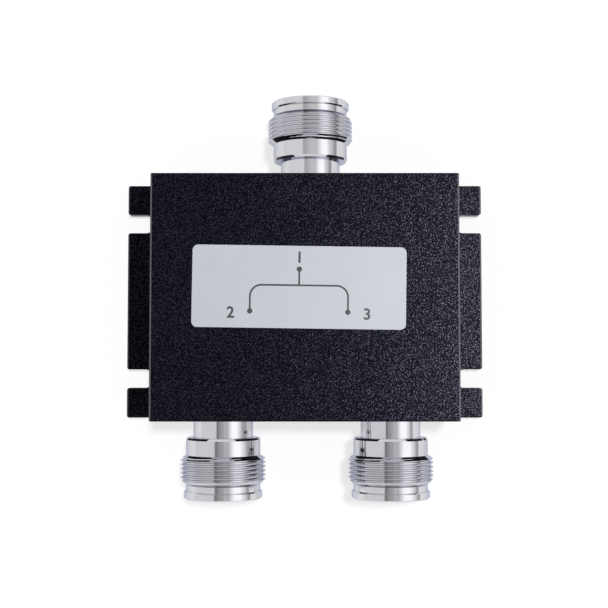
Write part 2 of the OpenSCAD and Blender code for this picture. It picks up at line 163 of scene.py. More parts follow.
class JackSettings(PropertyGroup):
    """Sizes of a turned jack shell; heights are along its axis from the housing's wall."""

    spigot_radius: length("Spigot radius", "Radius of the spigot in the housing's wall", 6.0)
    neck_radius: length("Neck radius", "Radius of the neck beside the housing", 7.0)
    neck_end: length("Neck end", "Height of the neck's end", 4.1)
    collar_radius: length("Collar radius", "Radius of the collar behind the thread", 8.75)
    collar_end: length("Collar end", "Height where the rear ramp starts", 8.15)
    shoulder_width: length("Shoulder width", "Width of the slope on the collar's shoulder", 0.3)
    shoulder_length: length("Shoulder length", "Length of the slope on the collar's shoulder", 0.5)
    thread_start: length("Thread start", "Height of the first full turn", 9.0)
    thread_end: length("Thread end", "Height of the last full turn", 13.8)
    groove_start: length("Groove start", "Height where the front ramp ends", 15.05)
    groove_end: length("Groove end", "Height of the groove's end", 16.45)
    groove_radius: length("Groove radius", "Radius at the bottom of the groove", 8.75)
    lip_radius: length("Lip radius", "Radius of the front lip", 9.2)
    edge_break: length("Edge break", "Chamfer on the turned edges", 0.25)
    mouth_radius: length("Mouth radius", "Radius of the mouth's edge", 7.9)
    seal_bore_radius: length("Seal bore radius", "Radius of the front bore", 7.5)
    seal_bore_end: length("Seal bore end", "Height of the front bore's floor", 13.25)
    contact_bore_radius: length("Contact bore radius", "Radius of the bore round the contact", 6.0)
    bead_radius: length("Bead radius", "Radius of the bead's seat", 5.0)
    bead_front: length("Bead front", "Height of the bead's front", 6.25)
    bead_back: length("Bead back", "Height of the bead's back", 1.25)
    sleeve_radius: length("Sleeve radius", "Radius of the rear sleeve's bore", 2.6)
    thread_pitch: length("Thread pitch", "Height of one turn of the coupling thread", 1.0)
    thread_depth: length("Thread depth", "Depth of the coupling thread", 0.6)
    columns: IntProperty(name="Columns", description="Steps round the shell", default=192, min=48, max=256)
    plating_colour: tint("Plating colour", "Colour of the bright plating", (0.69, 0.685, 0.705))
    # Painted shade: a darker bluish tint at glancing angles stands in for the shadowed floor seen in the
    # plating's edges.
    edge_colour: tint("Edge colour", "Tint of the plating at a glancing angle", (0.58, 0.61, 0.72))
    contact_colour: tint("Contact colour", "Colour of the contact's plating", (0.85, 0.82, 0.74))


class LabelSettings(PropertyGroup):
    """Printed film on the face; heights and distances of its marks are from its middle."""

    width: length("Width", "Width of the film", 49.0)
    height: length("Height", "Height of the film", 18.9)
    corner_radius: length("Corner radius", "Radius of the film's corners", 1.3)
    film_thickness: length("Film thickness", "Thickness of the film", 0.105)
    ink_thickness: length("Ink thickness", "Thickness of the printed marks", 0.01)
    tilt: degrees("Tilt", "Turn of the film on the face", -0.83)
    digit_size: length("Digit size", "Height of the port numbers' type", 3.6)
    digit_weight: number("Digit weight", "Share of the type's height that widens its strokes", 0.022)
    upper_digit_y: length("Upper digit", "Height of number 1", 6.7)
    lower_digit_x: length("Lower digits aside", "Sideways distance of numbers 2 and 3", 15.6)
    lower_digit_y: length("Lower digits", "Height of numbers 2 and 3", -6.1)
    line_width: length("Line width", "Width of the printed lines", 0.42)
    stem_top: length("Stem top", "Height of the line's upper end", 4.1)
    split_y: length("Split", "Height where the line splits", 0.4)
    arm_end: length("Arm end", "Height of the line's lower ends", -5.2)
    arm_reach: length("Arm reach", "Sideways distance of the line's lower ends", 11.2)
    bend_radius: length("Bend radius", "Radius of the line's bends", 2.6)
    dot_radius: length("Dot radius", "Radius of the dots at the line's ends", 0.62)
    dot_drop: length("Dot drop", "Distance of the lower dots' middles below the line's ends", 0.4)
    film_colour: tint("Film colour", "Colour of the film", (0.424, 0.439, 0.472))
    film_gloss: number("Film gloss", "Level of the film's reflection", 0.3)
    ink_colour: tint("Ink colour", "Colour of the printed marks", (0.018, 0.018, 0.022))


class InsideSettings(PropertyGroup):
    """Colours of the screws and of the pieces inside the box."""

    steel_colour: tint("Steel colour", "Colour of the screws", (0.50, 0.50, 0.52))
    laminate_colour: tint("Laminate colour", "Colour of the circuit board", (0.80, 0.76, 0.64))
    copper_colour: tint("Copper colour", "Colour of the microstrip", (0.60, 0.27, 0.12))
    chip_colour: tint("Chip colour", "Colour of the chip resistors", (0.05, 0.05, 0.06))
    bead_colour: tint("Bead colour", "Colour of the insulating beads", (0.88, 0.88, 0.86))
    gasket_colour: tint("Gasket colour", "Colour of the cover's gasket", (0.10, 0.11, 0.12))
    seal_colour: tint("Seal colour", "Colour of the jacks' seals", (0.25, 0.06, 0.04))


class StageSettings(PropertyGroup):
    """Floor, lamps and camera."""

    camera_x: length("Camera X", "Sideways place of the camera", -0.18)
    camera_y: length("Camera Y", "Place of the camera along the box", -15.3)
    camera_z: length("Camera Z", "Height of the camera", 275.6)
    camera_pitch: degrees("Camera pitch", "Tilt of the camera from straight down", 3.064)
    lens: FloatProperty(name="Lens", description="Focal length of the camera", default=65.86, unit="CAMERA")
    sensor: FloatProperty(
        name="Sensor", description="Width of the camera's sensor", default=36.0, unit="CAMERA"
    )
    floor_size: length("Floor size", "Width of the floor", 4000.0)
    shadow_depth: FloatProperty(
        name="Shadow depth", description="Share of the floor's white that its own lamp gives",
        default=0.28, min=0.0, max=1.0, subtype="FACTOR",
    )
    floor_light: number("Floor light", "Strength of the lamp that lights only the floor", 2.5)
    floor_lamp_width: degrees("Floor lamp width", "Angle that the floor's lamp fills", 6.5)
    floor_lamp_pitch: degrees("Floor lamp pitch", "Tilt of the floor's lamp, below zero to +Y", -9.5)
    floor_lamp_lean: degrees("Floor lamp lean", "Lean of the floor's lamp towards +X", 7.0)
    softbox_power: FloatProperty(
        name="Softbox power", description="Power of the lamp on the right", default=3.55, unit="POWER"
    )
    softbox_width: length("Softbox width", "Width of the softbox across the box", 120.0)
    softbox_length: length("Softbox length", "Length of the softbox along the box", 290.0)
    softbox_distance: length("Softbox distance", "Distance of the softbox from the middle of the box", 600.0)
    softbox_shift: length("Softbox shift", "Place of the softbox along the box", 5.0)
    softbox_lean: degrees("Softbox lean", "Lean of the softbox from overhead towards +X", 22.5)


class SplitterSettings(PropertyGroup):
    """All the settings of the dressing."""

    coat: PointerProperty(type=CoatSettings)
    jack: PointerProperty(type=JackSettings)
    label: PointerProperty(type=LabelSettings)
    inside: PointerProperty(type=InsideSettings)
    stage: PointerProperty(type=StageSettings)


def settings():
    """The property groups of the open scene."""
    return bpy.context.scene.splitter


# Meshes

def grid_faces(rows, columns):
    """Quads of a grid of points: each point with its next one along the row and the two on the next row."""
    index = np.arange(rows * columns).reshape(rows, columns)
    corners = (index[:-1, :-1], index[:-1, 1:], index[1:, 1:], index[1:, :-1])
    return np.stack(corners, axis=-1).reshape(-1, 4)


def new_piece(name, points, faces):
    """Puts points and faces into a new mesh whose object stays at the origin."""
    mesh = bpy.data.meshes.new(name)
    mesh.from_pydata(np.asarray(points).reshape(-1, 3).tolist(), [], faces)
    piece = bpy.data.objects.new(name, mesh)
    bpy.context.scene.collection.objects.link(piece)
    return piece


def weld(mesh):
    """Joins points that coincide, turns the faces outwards, and keeps only real corners crisp."""
    work = bmesh.new()
    work.from_mesh(mesh)
    bmesh.ops.remove_doubles(work, verts=work.verts, dist=WELD_REACH)
    bmesh.ops.dissolve_degenerate(work, dist=WELD_REACH, edges=work.edges)
    bmesh.ops.recalc_face_normals(work, faces=work.faces)
    work.to_mesh(mesh)
    work.free()
    mesh.shade_smooth()
    mesh.set_sharp_from_angle(angle=CRISP)


def corner_normals(mesh):
    """Normals that keep flat faces flat and round ones smooth, on a mesh of triangles.

    The normal at a corner is the mean of the normals of all the faces at that point that make no crisp
    edge with the corner's own face, each weighted by its area times its angle there.
    """
    count = len(mesh.loops)
    spot = np.empty(count, np.int64)
    mesh.loops.foreach_get("vertex_index", spot)
    place = np.empty(len(mesh.vertices) * 3)
    mesh.vertices.foreach_get("co", place)
    corner = place.reshape(-1, 3)[spot].reshape(-1, 3, 3)
    ahead = np.roll(corner, -1, axis=1) - corner
    behind = np.roll(corner, 1, axis=1) - corner
    cross = np.cross(ahead, behind)
    twice_area = np.linalg.norm(cross, axis=2)
    opening = np.arctan2(twice_area, (ahead * behind).sum(axis=2))
    way = (cross / np.maximum(twice_area, LEAST_AREA)[..., None]).reshape(-1, 3)
    weight = (twice_area * opening).reshape(-1, 1)
    order = np.argsort(spot, kind="stable")
    size = np.bincount(spot)
    first = (np.cumsum(size) - size)[spot]
    shared = size[spot]
    one = np.repeat(np.arange(count), shared)
    step = np.arange(len(one)) - np.repeat(np.cumsum(shared) - shared, shared)
    other = order[np.repeat(first, shared) + step]
    near = (way[one] * way[other]).sum(axis=1) > math.cos(COPY_CRISP)
    total = np.zeros((count, 3))
    np.add.at(total, one[near], (way * weight)[other[near]])
    return total / np.maximum(np.linalg.norm(total, axis=1), LEAST_SUM)[:, None]


def smooth_copy(node, name):
    """A copy of a node's own mesh with its loose triangles joined and its round faces shaded smooth."""
    mesh = frame["nodes"][node].data.copy()
    mesh.name = name
    work = bmesh.new()
    work.from_mesh(mesh)
    bmesh.ops.remove_doubles(work, verts=work.verts, dist=COPY_REACH)
    work.to_mesh(mesh)
    work.free()
    mesh.shade_smooth()
    mesh.normals_split_custom_set(corner_normals(mesh).tolist())
    piece = bpy.data.objects.new(name, mesh)
    bpy.context.scene.collection.objects.link(piece)
    return piece


def mark_edges(piece, least=0.02):
    """Marks the rounded long edges, whose faces look partly up and partly to a side, as rubbed smooth and
    painted paler as a highlight.
    """
    way = np.empty(len(piece.data.polygons) * 3)
    piece.data.polygons.foreach_get("normal", way)
    aside, _, up = np.abs(way.reshape(-1, 3)).T
    marks = piece.data.attributes.new("edge_wear_and_highlight", "FLOAT", "FACE")
    marks.data.foreach_set("value", ((aside > least) & (up > least)).astype(float))


def give(piece, material):
    """Makes one material the piece's only one."""
    piece.data.materials.clear()
    piece.data.materials.append(material)


def coat_node(node, material):
    """Puts a material into the slots of a carried-over node."""
    piece = frame["nodes"][node]
    if not piece.material_slots:
        piece.data.materials.append(material)
    for slot in piece.material_slots:
        slot.material = material


def carry(piece, slot, *nodes):
    """Fixes a new piece to the box and hides the nodes that it stands for; the name of its finish is not
    used.
    """
    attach(piece, "root")
    if nodes:
        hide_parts(*nodes)


# Jacks

def thread_rows(jack):
    """Radius and height of the threaded stretch on a slanted grid.

    Row j of n in a turn lies, at turn t from 0 to 1, at height start - pitch + (j / n + t) * pitch, cut
    off at both ends, so each row climbs one pitch per turn and meets the row n above it at the seam. The
    radius is the smaller of the ramped outline and a flat-topped V: full at the crest, less the depth at
    the root.
    """
    start, end, pitch = jack.collar_end, jack.groove_start, jack.thread_pitch
    rows = TURN_ROWS * math.ceil((end - start) / pitch + 1) + 1
    row = np.arange(rows)[:, None] / TURN_ROWS
    turn = np.linspace(0.0, 1.0, jack.columns + 1)[None, :]
    height = np.clip(start - pitch + (row + turn) * pitch, start, end)
    outline = np.interp(
        height,
        [start, jack.thread_start, jack.thread_end, end],
        [jack.collar_radius, THREAD_R, THREAD_R, jack.groove_radius],
    )
    from_root = np.abs(2 * (row % 1) - 1)
    rise = np.clip((from_root - ROOT_FLAT) / (1 - ROOT_FLAT - CREST_FLAT), 0.0, 1.0)
    radius = np.minimum(outline, THREAD_R - jack.thread_depth * (1 - rise))
    return radius, height


def shell_rows(jack):
    """Radius and height of a whole shell: a closed turned profile with the thread between its halves."""
    cut = jack.edge_break
    back = np.array([
        [jack.sleeve_radius, BACK_Y],
        [jack.spigot_radius - cut, BACK_Y],
        [jack.spigot_radius, BACK_Y + cut],
        [jack.spigot_radius, 0.0],
        [jack.neck_radius, 0.0],
        [jack.neck_radius, jack.neck_end],
        [jack.collar_radius - jack.shoulder_width, jack.neck_end],
        [jack.collar_radius, jack.neck_end + jack.shoulder_length],
        [jack.collar_radius, jack.collar_end],
    ])
    front = np.array([
        [jack.groove_radius, jack.groove_start],
        [jack.groove_radius, jack.groove_end],
        [jack.lip_radius - cut, jack.groove_end],
        [jack.lip_radius, jack.groove_end + cut],
        [jack.lip_radius, FRONT_Y - cut],
        [jack.lip_radius - cut, FRONT_Y],
        [jack.mouth_radius, FRONT_Y],
        [jack.seal_bore_radius, FRONT_Y - jack.mouth_radius + jack.seal_bore_radius],
        [jack.seal_bore_radius, jack.seal_bore_end],
        [jack.contact_bore_radius, jack.seal_bore_end],
        [jack.contact_bore_radius, jack.bead_front],
        [jack.bead_radius, jack.bead_front],
        [jack.bead_radius, jack.bead_back],
        [jack.sleeve_radius, jack.bead_back],
        [jack.sleeve_radius, BACK_Y],
    ])
    across = np.ones((1, jack.columns + 1))
    radius, height = thread_rows(jack)
    radius = np.vstack([back[:, :1] * across, radius, front[:, :1] * across])
    height = np.vstack([back[:, 1:] * across, height, front[:, 1:] * across])
    return radius, height


def jack_place(jack_name):
    """Axis of a jack in the frame: its x and z, and the side of the box that it stands on."""
    port = PORTS[jack_name + "_port"]
    return port["pos_m"][0], port["pos_m"][2], 1.0 if port["axis"][1] > 0 else -1.0


def turn_shell(jack_name, jack):
    """A turned shell: x = r sin(a), z = r cos(a) and y along the axis, half turned for the far side."""
    radius, height = shell_rows(jack)
    angle = np.linspace(0.0, 2 * np.pi, jack.columns + 1)[None, :]
    x, z, side = jack_place(jack_name)
    points = np.stack([
        x + side * radius * np.sin(angle),
        side * (WALL_Y + height),
        z + radius * np.cos(angle),
    ], axis=-1)
    piece = new_piece(jack_name + "_jack", points, grid_faces(*radius.shape).tolist())
    climb = np.abs(np.diff(height, axis=0, prepend=height[:1]))
    path = climb + np.abs(np.diff(radius, axis=0, prepend=radius[:1]))
    marks = piece.data.attributes.new("lathe_path", "FLOAT", "POINT")
    marks.data.foreach_set("value", np.cumsum(path, axis=0).ravel())
    weld(piece.data)
    return piece


# Label

def rounded_outline(width, height, radius, inset=0.0, steps=10):
    """Points round a rectangle whose corners are quarter circles, moved inwards by the inset."""
    angle = np.radians(np.linspace(0.0, 90.0, steps + 1)[None, :] + np.arange(4)[:, None] * 90.0)
    sign = np.array([[1, 1], [-1, 1], [-1, -1], [1, -1]])
    centre = sign * (np.array([width, height]) / 2 - radius)
    spoke = np.stack([np.cos(angle), np.sin(angle)], axis=-1) * (radius - inset)
    return (centre[:, None, :] + spoke).reshape(-1, 2)


def stroke_outline(path, width):
    """Closed outline of a line of even width: the path moved to its right, then to its left and back."""
    step = np.gradient(path, axis=0)
    left = np.stack([-step[:, 1], step[:, 0]], axis=-1) / np.linalg.norm(step, axis=1)[:, None]
    return np.vstack([path - left * width / 2, (path + left * width / 2)[::-1]])


def stack(rings, heights):
    """A closed solid of outlines one above the other: walls of quads between them and two caps."""
    count = len(rings[0])
    points = np.vstack([
        np.column_stack([ring, np.full(count, height)]) for ring, height in zip(rings, heights)
    ])
    first = np.arange(count)
    after = np.roll(first, -1)
    wall = np.stack([first, after, after + count, first + count], axis=-1)
    last = len(rings) - 1
    walls = np.vstack([wall + count * k for k in range(last)]).tolist()
    return points, walls + [first[::-1].tolist(), (first + count * last).tolist()]


def slab(outline, low, high):
    """A flat closed slab between two heights."""
    return stack([outline, outline], (low, high))


def digit(text, label, low, high):
    """A port number of type, made a mesh of its own, centred on the origin between two heights."""
    curve = bpy.data.curves.new("port_number", "FONT")
    curve.body = text
    curve.size = label.digit_size
    curve.align_x = "CENTER"
    curve.align_y = "CENTER"
    curve.offset = label.digit_weight * label.digit_size
    curve.extrude = (high - low) / 2
    holder = bpy.data.objects.new("port_number", curve)
    bpy.context.scene.collection.objects.link(holder)
    view = bpy.context.evaluated_depsgraph_get()
    mesh = bpy.data.meshes.new_from_object(holder.evaluated_get(view))
    points = np.empty(len(mesh.vertices) * 3)
    mesh.vertices.foreach_get("co", points)
    points = points.reshape(-1, 3)
    points[:, 2] += (low + high) / 2
    faces = [list(face.vertices) for face in mesh.polygons]
    bpy.data.objects.remove(holder)
    bpy.data.curves.remove(curve)
    bpy.data.meshes.remove(mesh)
    return points, faces


def on_label(points, label):
    """Places label points: turned by the film's tilt and moved to its middle on the face."""
    turn = np.array([
        [math.cos(label.tilt), math.sin(label.tilt), 0.0],
        [-math.sin(label.tilt), math.cos(label.tilt), 0.0],
        [0.0, 0.0, 1.0],
    ])
    middle = [(LABEL_LOW[0] + LABEL_HIGH[0]) / 2, (LABEL_LOW[1] + LABEL_HIGH[1]) / 2, FACE_Z]
    return points @ turn + np.array(middle)


def join_parts(parts):
    """One list of points and faces from several."""
    starts = np.cumsum([0] + [len(points) for points, _ in parts[:-1]]).tolist()
    faces = []
    for start, (_, group) in zip(starts, parts):
        faces.extend([i + start for i in face] for face in group)
    return np.vstack([points for points, _ in parts]), faces


def cut_film(label):
    """The film: rounded outlines stacked up its edge and over a tiny roll, closed by two caps."""
    insets, levels = np.array(FILM_EDGE).T * label.film_thickness
    rings = [rounded_outline(label.width, label.height, label.corner_radius, inset) for inset in insets]
    points, faces = stack(rings, levels)
    piece = new_piece("label_film", on_label(points, label), faces)
    piece.data.shade_smooth()
    piece.data.set_sharp_from_angle(angle=CRISP)
    return piece


def elbow(start, corner, end, radius, steps=12):
    """A path from start to end with a quarter circle of the given radius at the corner."""
    start, corner, end = (np.array(p, float) for p in (start, corner, end))
    along = (corner - start) / np.linalg.norm(corner - start)
    away = (end - corner) / np.linalg.norm(end - corner)
    turn = np.linspace(0.0, np.pi / 2, steps)[:, None]
    arc = corner - along * radius * (1 - np.sin(turn)) + away * radius * (1 - np.cos(turn))
    return np.vstack([start, arc, end])


def ring_outline(middle, radius, steps=36):
    """Points of a circle."""
    angle = np.linspace(0.0, 2 * np.pi, steps, endpoint=False)
    return np.array(middle) + radius * np.stack([np.cos(angle), np.sin(angle)], axis=-1)


def print_marks(label):
    """Port numbers 1 to 3, dots for the ports, and a line that runs down from 1 and splits to 2 and 3.

    The line's ink is thinner than the dots', so that no two tops share a plane where they cross.
    """
    low = label.film_thickness
    high = low + label.ink_thickness
    wide = label.line_width
    parts = []
    for text, x, y in (
        ("1", 0.0, label.upper_digit_y),
        ("2", -label.lower_digit_x, label.lower_digit_y),
        ("3", label.lower_digit_x, label.lower_digit_y),
    ):
        points, faces = digit(text, label, low, high)
        parts.append((points + np.array([x, y, 0.0]), faces))
    bend, foot = (label.arm_reach, label.split_y), (label.arm_reach, label.arm_end)
    right = elbow((0.0, label.split_y), bend, foot, label.bend_radius)
    yoke = np.vstack([right[:0:-1] * (-1, 1), right])
    stem = np.array([[0.0, label.stem_top], [0.0, label.split_y + wide / 2]])
    for path in (yoke, stem):
        parts.append(slab(stroke_outline(path, wide), low, (low + high) / 2))
    dot_y = label.arm_end - label.dot_drop
    for spot in ((0.0, label.stem_top), (-label.arm_reach, dot_y), (label.arm_reach, dot_y)):
        parts.append(slab(ring_outline(spot, label.dot_radius), low, high))
    points, faces = join_parts(parts)
    return new_piece("label_marks", on_label(points, label), faces)


# Finishes

def set_inputs(tree, made, inputs):
    """Sets a node's inputs, or links them where a socket is given."""
    for key, value in inputs.items():
        if isinstance(value, bpy.types.NodeSocket):
            tree.links.new(value, made.inputs[key])
        else:
            made.inputs[key].default_value = value
    return made


def add_node(tree, kind, inputs=None, **choices):
    """A node with its choices made and its inputs set or linked."""
    made = tree.nodes.new(kind)
    for key, value in choices.items():
        setattr(made, key, value)
    return set_inputs(tree, made, inputs or {})


def work_out(tree, operation, *values):
    """The result of one operation on one or two values, each a socket or a number."""
    return add_node(tree, "ShaderNodeMath", dict(enumerate(values)), operation=operation).outputs[0]


def progress(tree, value, start, end, **choices):
    """A value that runs from 0 to 1 as another runs from start to end."""
    inputs = {"Value": value, "From Min": start, "From Max": end}
    return add_node(tree, "ShaderNodeMapRange", inputs, **choices).outputs[0]


def shade(tree, factor, low, high):
    """A colour between two, each a socket or plain numbers, by a factor."""
    mix = add_node(tree, "ShaderNodeMix", {0: factor}, data_type="RGBA")
    for slot, colour in ((MIX_LOW, low), (MIX_HIGH, high)):
        if not isinstance(colour, bpy.types.NodeSocket):
            colour = (*colour, 1.0)
        set_inputs(tree, mix, {slot: colour})
    return mix.outputs[MIX_OUT]


def between(tree, factor, low, high):
    """A value that runs from low to high as the factor runs from 0 to 1."""
    inputs = {"Value": factor, "To Min": low, "To Max": high}
    return add_node(tree, "ShaderNodeMapRange", inputs).outputs[0]


def new_group(name, inputs, outputs):
    """An empty shader group with its sockets, and its inner input and output nodes."""
    tree = bpy.data.node_groups.new(name, "ShaderNodeTree")
    for label, kind in inputs:
        tree.interface.new_socket(label, in_out="INPUT", socket_type=kind)
    for label, kind in outputs:
        tree.interface.new_socket(label, in_out="OUTPUT", socket_type=kind)
    return tree, tree.nodes.new("NodeGroupInput"), tree.nodes.new("NodeGroupOutput")


def sand_grain():
    """Group: sandy grains; Height is their relief and Speck picks the tops of the tallest."""
    name = "sand_grain"
    if name in bpy.data.node_groups:
        return bpy.data.node_groups[name]
    tree, given, made = new_group(name, SURFACE, (("Height", NUMBER), ("Speck", NUMBER)))
    spots, fineness = given.outputs["Vector"], given.outputs["Fineness"]
    coarse = add_node(tree, "ShaderNodeTexNoise", {
        "Vector": spots, "Scale": fineness, "Detail": 3.0, "Roughness": 0.6, "Distortion": 0.3,
    })
    crumbs = add_node(tree, "ShaderNodeTexVoronoi", {"Vector": spots, "Scale": fineness, "Randomness": 1.0})
    round_top = add_node(tree, "ShaderNodeMapRange", {
        "Value": crumbs.outputs["Distance"],
        "From Min": 0.0, "From Max": 0.75, "To Min": 0.55, "To Max": 0.0,
    })
    height = work_out(tree, "ADD", coarse.outputs[0], round_top.outputs[0])
    speck = progress(tree, height, 0.80, 1.04)
    set_inputs(tree, made, {"Height": height, "Speck": speck})
    return tree


def soft_haze():
    """Group: slow soft patches from 0 to 1, for handling marks and uneven film."""
    name = "soft_haze"
    if name in bpy.data.node_groups:
        return bpy.data.node_groups[name]
    tree, given, made = new_group(name, SURFACE, (("Mask", NUMBER),))
    noise = add_node(tree, "ShaderNodeTexNoise", {
        "Vector": given.outputs["Vector"], "Scale": given.outputs["Fineness"],
        "Detail": 4.0, "Roughness": 0.55, "Distortion": 0.5,
    })
    set_inputs(tree, made, {"Mask": progress(tree, noise.outputs[0], 0.3, 0.7)})
    return tree


def tool_lines():
    """Group: fine lines left by a cutting tool, as noise along one number, broken up over the surface."""
    name = "tool_lines"
    if name in bpy.data.node_groups:
        return bpy.data.node_groups[name]
    tree, given, made = new_group(name, (*SURFACE, ("Path", NUMBER)), (("Height", NUMBER),))
    along = add_node(tree, "ShaderNodeTexNoise", {
        "W": given.outputs["Path"], "Scale": given.outputs["Fineness"], "Detail": 3.0, "Roughness": 0.7,
    }, noise_dimensions="1D")
    patch = add_node(tree, "ShaderNodeTexNoise", {
        "Vector": given.outputs["Vector"], "Scale": 260.0, "Detail": 2.0,
    })
    height = work_out(tree, "MULTIPLY", along.outputs[0], patch.outputs[0])
    set_inputs(tree, made, {"Height": height})
    return tree


def new_finish(name):
    """A material with its node tree, its shader and the object's own coordinates."""
    material = bpy.data.materials.new(name)
    material.use_nodes = True
    tree = material.node_tree
    spots = tree.nodes.new("ShaderNodeTexCoord").outputs["Object"]
    return material, tree, tree.nodes["Principled BSDF"], spots


def fill_group(tree, group, inputs):
    """Places a shader group and sets its inputs."""
    return add_node(tree, "ShaderNodeGroup", inputs, node_tree=group)


def relief(tree, shader, height, depth):
    """Feeds a height to the shader's normal."""
    bump = add_node(tree, "ShaderNodeBump", {"Height": height, "Distance": depth, "Strength": 1.0})
    tree.links.new(bump.outputs[0], shader.inputs["Normal"])


def patchy(tree, shader, spots, fineness, colour, share, rough):
    """Two close tones, the second the given share of the first, and two roughnesses, in soft patches."""
    mask = fill_group(tree, soft_haze(), {"Vector": spots, "Fineness": fineness}).outputs["Mask"]
    darker = tuple(share * c for c in colour)
    tree.links.new(shade(tree, mask, colour, darker), shader.inputs["Base Color"])
    tree.links.new(between(tree, mask, *rough), shader.inputs["Roughness"])


def coat_finish(coat):
    """Sandy powder coat: dark dull hollows, and grains in relief whose tops hold satin metal flecks."""
    material, tree, shader, spots = new_finish("sandy_coat")
    grain = fill_group(tree, sand_grain(), {"Vector": spots, "Fineness": 1.0 / coat.grain_size})
    haze = fill_group(tree, soft_haze(), {"Vector": spots, "Fineness": coat.patch_fineness})
    wear_and_highlight = add_node(tree, "ShaderNodeAttribute", attribute_name="edge_wear_and_highlight").outputs["Fac"]
    crest = progress(tree, grain.outputs["Height"], coat.crest_start, coat.crest_full)
    colour = shade(tree, crest, coat.hollow_colour, coat.grain_colour)
    colour = shade(tree, grain.outputs["Speck"], colour, coat.fleck_colour)
    # The marked long edges take the paler edge colour: a painted highlight, partly also rubbed wear.
    tree.links.new(shade(tree, wear_and_highlight, colour, coat.edge_colour), shader.inputs["Base Color"])
    tree.links.new(between(tree, wear_and_highlight, crest, 0.0), shader.inputs["Metallic"])
    rough = between(tree, haze.outputs["Mask"], coat.rough_low, coat.rough_high)
    tree.links.new(rough, shader.inputs["Roughness"])
    shader.inputs["Specular IOR Level"].default_value = coat.hollow_gloss
    depth = between(tree, wear_and_highlight, coat.grain_height, coat.edge_relief * coat.grain_height)
    relief(tree, shader, grain.outputs["Height"], depth)
    return material


def plating_finish(jack):
    """Bright plating over turned metal: faint tool lines and a soft haze in its gloss."""
    material, tree, shader, spots = new_finish("bright_plating")
    path = add_node(tree, "ShaderNodeAttribute", attribute_name="lathe_path").outputs["Fac"]
    lines = fill_group(tree, tool_lines(), {"Vector": spots, "Path": path, "Fineness": 16000.0})
    patchy(tree, shader, spots, fineness=320.0, colour=jack.plating_colour, share=0.93, rough=(0.06, 0.09))
    shader.inputs["Metallic"].default_value = 1.0
    # Painted shade: the darker bluish glancing tint stands in for the shadowed floor reflected at the jacks'
    # silhouettes.
    shader.inputs["Specular Tint"].default_value = (*jack.edge_colour, 1.0)
    relief(tree, shader, lines.outputs["Height"], depth=1 * MICRON)
    return material


def contact_finish(jack):
    """Warm bright plating of the centre contacts, with lines along the turned length."""
    material, tree, shader, spots = new_finish("contact_plating")
    along = add_node(tree, "ShaderNodeSeparateXYZ", {0: spots}).outputs["Y"]
    lines = fill_group(tree, tool_lines(), {"Vector": spots, "Path": along, "Fineness": 14000.0})
    patchy(tree, shader, spots, fineness=500.0, colour=jack.contact_colour, share=0.9, rough=(0.16, 0.24))
    shader.inputs["Metallic"].default_value = 1.0
    relief(tree, shader, lines.outputs["Height"], depth=2 * MICRON)
    return material


def film_finish(label):
    """Satin printed film: slightly uneven tone and gloss, and a faint dimpling."""
    material, tree, shader, spots = new_finish("label_film")
    grain = fill_group(tree, sand_grain(), {"Vector": spots, "Fineness": 1800.0})
    patchy(tree, shader, spots, fineness=90.0, colour=label.film_colour, share=0.94, rough=(0.34, 0.44))
    shader.inputs["Specular IOR Level"].default_value = label.film_gloss
    relief(tree, shader, grain.outputs["Height"], depth=4 * MICRON)
    return material


def plain_finish(name, colour, rough, fineness, depth, metallic=0.0, share=0.82):
    """A finish of one material: two close tones by soft patches, uneven gloss and a fine grain."""
    grains_per_patch = 6
    rough_span = 0.12
    material, tree, shader, spots = new_finish(name)
    grain = fill_group(tree, sand_grain(), {"Vector": spots, "Fineness": fineness})
    patchy(tree, shader, spots, fineness / grains_per_patch, colour, share, (rough, rough + rough_span))
    shader.inputs["Metallic"].default_value = metallic
    relief(tree, shader, grain.outputs["Height"], depth)
    return material


# Stage

def lay_floor(stage):
    """A flat white grid of points under the part, which glows to the eye but for its own lamp's share."""
    reach = np.linspace(-stage.floor_size / 2, stage.floor_size / 2, FLOOR_POINTS)
    x, y = np.meshgrid(reach, reach)
    faces = grid_faces(FLOOR_POINTS, FLOOR_POINTS).tolist()
    floor = new_piece("studio_floor", np.stack([x, y, 0 * x], axis=-1), faces)
    material = bpy.data.materials.new("studio_floor")
    material.use_nodes = True
    tree = material.node_tree
    tree.nodes.remove(tree.nodes["Principled BSDF"])
    rays = tree.nodes.new("ShaderNodeLightPath").outputs
    seen = work_out(tree, "MAXIMUM", rays["Is Camera Ray"], rays["Is Glossy Ray"])
    seen = work_out(tree, "MAXIMUM", seen, rays["Is Transmission Ray"])
    share = work_out(tree, "MULTIPLY", seen, 1.0 - stage.shadow_depth)
    paper = add_node(tree, "ShaderNodeBsdfDiffuse", {"Color": PAPER}).outputs[0]
    glow = add_node(tree, "ShaderNodeEmission", {"Color": (*WHITE, 1.0), "Strength": 1.0}).outputs[0]
    mix = add_node(tree, "ShaderNodeMixShader", {0: share, 1: paper, 2: glow})
    tree.links.new(mix.outputs[0], tree.nodes["Material Output"].inputs["Surface"])
    give(floor, material)
    return floor


def tent_arc(tree, place, stops):
    """A grey by the roll angle from straight up, from level on the left to level on the right."""
    ramp = add_node(tree, "ShaderNodeValToRGB", {0: place})
    marks = ramp.color_ramp.elements
    while len(marks) > 1:
        marks.remove(marks[-1])
    for k, (angle, level) in enumerate(stops):
        mark = marks[0] if k == 0 else marks.new((angle + 90) / 180)
        mark.position = (angle + 90) / 180
        mark.color = (*(level * share for share in ARC_TINT), 1.0)
    return ramp.outputs[0]


